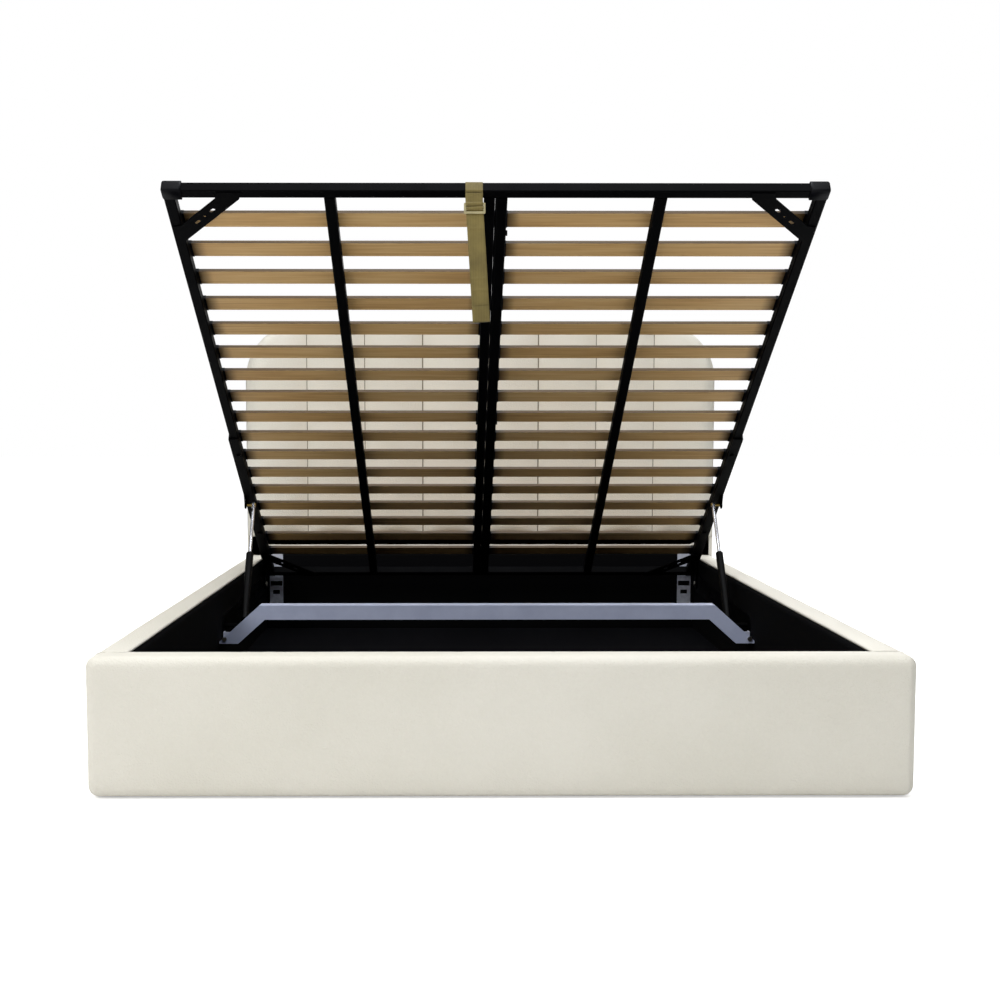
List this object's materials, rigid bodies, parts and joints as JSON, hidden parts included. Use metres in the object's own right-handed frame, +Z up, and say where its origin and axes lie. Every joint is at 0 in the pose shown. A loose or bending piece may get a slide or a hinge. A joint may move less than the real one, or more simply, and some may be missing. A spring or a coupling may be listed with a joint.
{
  "type": "ottoman storage bed",
  "caption": "Upholstered storage bed with a channelled headboard and a slatted lid raised on gas struts over an open storage box.",
  "frame": {"origin": "on the floor, under the middle of the whole bed", "axes": "+Y along the bed to the headboard, +X across it to the right seen from the foot end, +Z up"},
  "size_m": [1.648, 2.19, 1.287],
  "materials": {
    "cream_upholstery": "matt smooth upholstery cover in warm off-white",
    "timber_core": "raw board and softwood",
    "black_lining": "black non-woven lining",
    "floor_board": "dark faced hardboard",
    "pale_edging": "off-white wrapped edge",
    "black_plastic": "moulded black plastic",
    "bracket_steel": "pressed steel, dull",
    "bolt_zinc": "zinc plated",
    "grey_painted_steel": "satin grey powder coat",
    "black_steel": "black powder coat",
    "black_bolts": "blackened steel",
    "sprung_slat_birch": "laminated birch, clear film face",
    "strut_cylinder_paint": "black painted tube",
    "rod_chrome": "polished rod",
    "khaki_webbing": "woven webbing",
    "slider_plastic": "moulded plastic"
  },
  "bodies": {
    "bed_box": {"footboard_core": "timber_core", "footboard_cover": "cream_upholstery", "footboard_lining": "black_lining", "side_rail_core_left": "timber_core", "side_rail_core_right": "timber_core", "side_rail_cover_left": "cream_upholstery", "side_rail_cover_right": "cream_upholstery", "side_rail_lining_left": "black_lining", "side_rail_lining_right": "black_lining", "floor_board_foot": "floor_board", "floor_board_head": "floor_board", "floor_battens": "timber_core", "glides": "black_plastic", "headboard_board": "timber_core", "headboard_cushion": "cream_upholstery", "headboard_back_cover": "cream_upholstery", "rear_panel": "black_lining", "rear_panel_trim": "pale_edging", "headboard_tie_plates": "bracket_steel", "tie_plate_bolts": "bolt_zinc", "crossbar": "grey_painted_steel", "crossbar_brackets": "bracket_steel", "crossbar_bolts": "bolt_zinc", "foot_ledge": "timber_core", "corner_blocks": "timber_core", "base_plate_left": "black_steel", "base_plate_right": "black_steel", "hinge_pins": "bolt_zinc", "strut_studs": "black_steel"},
    "lid": {"foot_tube_left": "black_steel", "foot_tube_right": "black_steel", "head_tube_left": "black_steel", "head_tube_right": "black_steel", "side_tube_left": "black_steel", "side_tube_right": "black_steel", "middle_bar_left": "black_steel", "middle_bar_right": "black_steel", "centre_bar_left": "black_steel", "centre_bar_right": "black_steel", "corner_caps": "black_plastic", "gussets_left": "black_steel", "gussets_right": "black_steel", "slats_left": "sprung_slat_birch", "slats_right": "sprung_slat_birch", "side_slat_holders": "black_plastic", "centre_slat_holders": "black_plastic", "frame_joining_bolts": "black_bolts", "lift_arm_left": "black_steel", "lift_arm_right": "black_steel", "arm_bolts": "black_bolts", "strap_loop": "khaki_webbing"},
    "strut_cylinder_left": {"strut_cylinder_left": "strut_cylinder_paint"},
    "strut_cylinder_right": {"strut_cylinder_right": "strut_cylinder_paint"},
    "strut_rod_left": {"strut_rod_left": "rod_chrome", "strut_pin_left": "bolt_zinc"},
    "strut_rod_right": {"strut_rod_right": "rod_chrome", "strut_pin_right": "bolt_zinc"},
    "strap": {"strap_tail": "khaki_webbing", "strap_slider": "slider_plastic"}
  },
  "joints": [
    {"name": "lid", "type": "hinge", "parent": "bed_box", "child": "lid", "pos_m": [0, 0.975, 0.195], "axis": [1, 0, 0], "range_deg": [0, 31.83]},
    {"name": "strut_left_swing", "type": "hinge", "parent": "bed_box", "child": "strut_cylinder_left", "pos_m": [-0.695, 0.145, 0.17], "axis": [-0.9951, -0.0933, 0.0315], "range_deg": [0, 29.89]},
    {"name": "strut_left_slide", "type": "slide", "parent": "strut_cylinder_left", "child": "strut_rod_left", "axis": [-0.0527, 0.7746, 0.6302], "range_m": [-0.2028, 0]},
    {"name": "strut_right_swing", "type": "hinge", "parent": "bed_box", "child": "strut_cylinder_right", "pos_m": [0.695, 0.145, 0.17], "axis": [-0.9951, 0.0933, -0.0315], "range_deg": [0, 29.89]},
    {"name": "strut_right_slide", "type": "slide", "parent": "strut_cylinder_right", "child": "strut_rod_right", "axis": [0.0527, 0.7746, 0.6302], "range_m": [-0.2028, 0]},
    {"name": "strap_swing", "type": "hinge", "parent": "lid", "child": "strap", "pos_m": [-0.049, -0.65805, 1.25744], "axis": [1, 0, 0], "range_deg": [0, 28.3]}
  ],
  "couplings": [
    {"joint": "strut_left_swing", "follows": "lid", "ratio": 0.93662},
    {"joint": "strut_left_slide", "follows": "lid", "m_per_rad": -0.36442},
    {"joint": "strut_right_swing", "follows": "lid", "ratio": 0.93662},
    {"joint": "strut_right_slide", "follows": "lid", "m_per_rad": -0.36442},
    {"joint": "strap_swing", "follows": "lid", "ratio": 0.885}
  ]
}
